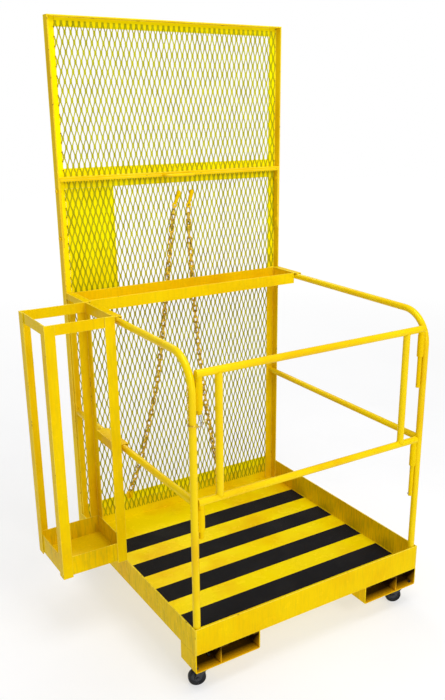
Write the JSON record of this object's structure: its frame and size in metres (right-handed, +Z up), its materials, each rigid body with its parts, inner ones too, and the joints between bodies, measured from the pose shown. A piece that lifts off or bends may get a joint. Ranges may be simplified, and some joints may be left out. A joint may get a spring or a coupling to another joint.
{
  "type": "lift truck work platform",
  "caption": "Railed work platform with a mesh back guard, lift gate, fork pockets, tool tray, hanging tube caddy and swivel casters.",
  "frame": {"origin": "centre of the overall box in plan, on the floor under the wheels", "axes": "+Z up; -Y is the gate side, +Y the mesh guard side; -X is the caddy side"},
  "size_m": [1.286, 1.016, 2.223],
  "materials": {
    "yellow_paint": "gloss",
    "mesh_paint": "gloss",
    "zinc_steel": "zinc plated",
    "black_steel": "black oxide",
    "chain_steel": "yellow chromate",
    "grip": "gritty",
    "wheel_rubber": "satin"
  },
  "bodies": {
    "platform": {"deck_plate": "yellow_paint", "front_toe_board": "yellow_paint", "left_toe_board": "yellow_paint", "right_toe_board": "yellow_paint", "back_kick_plate": "yellow_paint", "deck_stiffeners": "yellow_paint", "grip_strips": "grip", "fork_block_front_left": "yellow_paint", "fork_block_front_right": "yellow_paint", "fork_block_rear_left": "yellow_paint", "fork_block_rear_right": "yellow_paint", "fork_dividers": "yellow_paint", "rear_uprights": "yellow_paint", "lower_guard_posts": "yellow_paint", "lower_guard_bars": "yellow_paint", "lower_mesh": "mesh_paint", "infill_sheet": "yellow_paint", "upper_guard_posts": "yellow_paint", "upper_guard_bars": "yellow_paint", "upper_mesh": "mesh_paint", "guard_tongues": "yellow_paint", "guard_bolts": "yellow_paint", "grab_handle": "yellow_paint", "left_handrail": "yellow_paint", "right_handrail": "yellow_paint", "mid_rails": "yellow_paint", "gate_sleeves": "yellow_paint", "lock_lanyard": "chain_steel", "left_chain": "chain_steel", "right_chain": "chain_steel", "chain_hooks": "yellow_paint", "chain_lugs": "yellow_paint", "caster_plates": "black_steel", "caster_bolts": "black_steel"},
    "gate": {"gate_top_bar": "yellow_paint", "gate_bottom_bar": "yellow_paint", "gate_uprights": "yellow_paint", "gate_hinge_pins": "yellow_paint", "gate_latch_pins": "yellow_paint", "gate_cotter": "zinc_steel"},
    "tray": {"tool_tray": "yellow_paint", "tray_end_flanges": "yellow_paint"},
    "caddy": {"caddy_legs": "yellow_paint", "caddy_rim": "yellow_paint", "caddy_base_band": "yellow_paint", "caddy_floor": "yellow_paint", "caddy_hooks": "yellow_paint"},
    "lock_pin": {"lock_pin": "zinc_steel"},
    "fork_fl": {"yoke_fl": "black_steel", "axle_fl": "black_steel"},
    "roller_fl": {"wheel_fl": "wheel_rubber"},
    "fork_fr": {"yoke_fr": "black_steel", "axle_fr": "black_steel"},
    "roller_fr": {"wheel_fr": "wheel_rubber"},
    "fork_rl": {"yoke_rl": "black_steel", "axle_rl": "black_steel"},
    "roller_rl": {"wheel_rl": "wheel_rubber"},
    "fork_rr": {"yoke_rr": "black_steel", "axle_rr": "black_steel"},
    "roller_rr": {"wheel_rr": "wheel_rubber"}
  },
  "joints": [
    {"name": "gate_lift", "type": "slide", "parent": "platform", "child": "gate", "axis": [0, 0, 1], "range_m": [0, 0.112]},
    {"name": "tray_lift_off", "type": "slide", "parent": "platform", "child": "tray", "axis": [0, 0, 1], "range_m": [0, 0.12]},
    {"name": "caddy_lift_off", "type": "slide", "parent": "platform", "child": "caddy", "axis": [0, 0, 1], "range_m": [0, 0.15]},
    {"name": "lock_pin_swing", "type": "hinge", "parent": "platform", "child": "lock_pin", "pos_m": [-0.341, -0.5054, 1.017], "axis": [0, 1, 0], "range_deg": [-25, 10]},
    {"name": "caster_fl_swivel", "type": "hinge", "parent": "platform", "child": "fork_fl", "pos_m": [-0.329, -0.47, 0.071], "axis": [0, 0, 1], "continuous": true},
    {"name": "caster_fl_roll", "type": "hinge", "parent": "fork_fl", "child": "roller_fl", "pos_m": [-0.34967, -0.46248, 0.032], "axis": [-0.342, -0.9397, 0], "continuous": true},
    {"name": "caster_fr_swivel", "type": "hinge", "parent": "platform", "child": "fork_fr", "pos_m": [0.587, -0.47, 0.071], "axis": [0, 0, 1], "continuous": true},
    {"name": "caster_fr_roll", "type": "hinge", "parent": "fork_fr", "child": "roller_fr", "pos_m": [0.56834, -0.45834, 0.032], "axis": [-0.5299, -0.848, 0], "continuous": true},
    {"name": "caster_rl_swivel", "type": "hinge", "parent": "platform", "child": "fork_rl", "pos_m": [-0.329, 0.47, 0.071], "axis": [0, 0, 1], "continuous": true},
    {"name": "caster_rl_roll", "type": "hinge", "parent": "fork_rl", "child": "roller_rl", "pos_m": [-0.34842, 0.48033, 0.032], "axis": [-0.4695, -0.8829, 0], "continuous": true},
    {"name": "caster_rr_swivel", "type": "hinge", "parent": "platform", "child": "fork_rr", "pos_m": [0.587, 0.47, 0.071], "axis": [0, 0, 1], "continuous": true},
    {"name": "caster_rr_roll", "type": "hinge", "parent": "fork_rr", "child": "roller_rr", "pos_m": [0.56565, 0.47532, 0.032], "axis": [-0.2419, -0.9703, 0], "continuous": true}
  ]
}
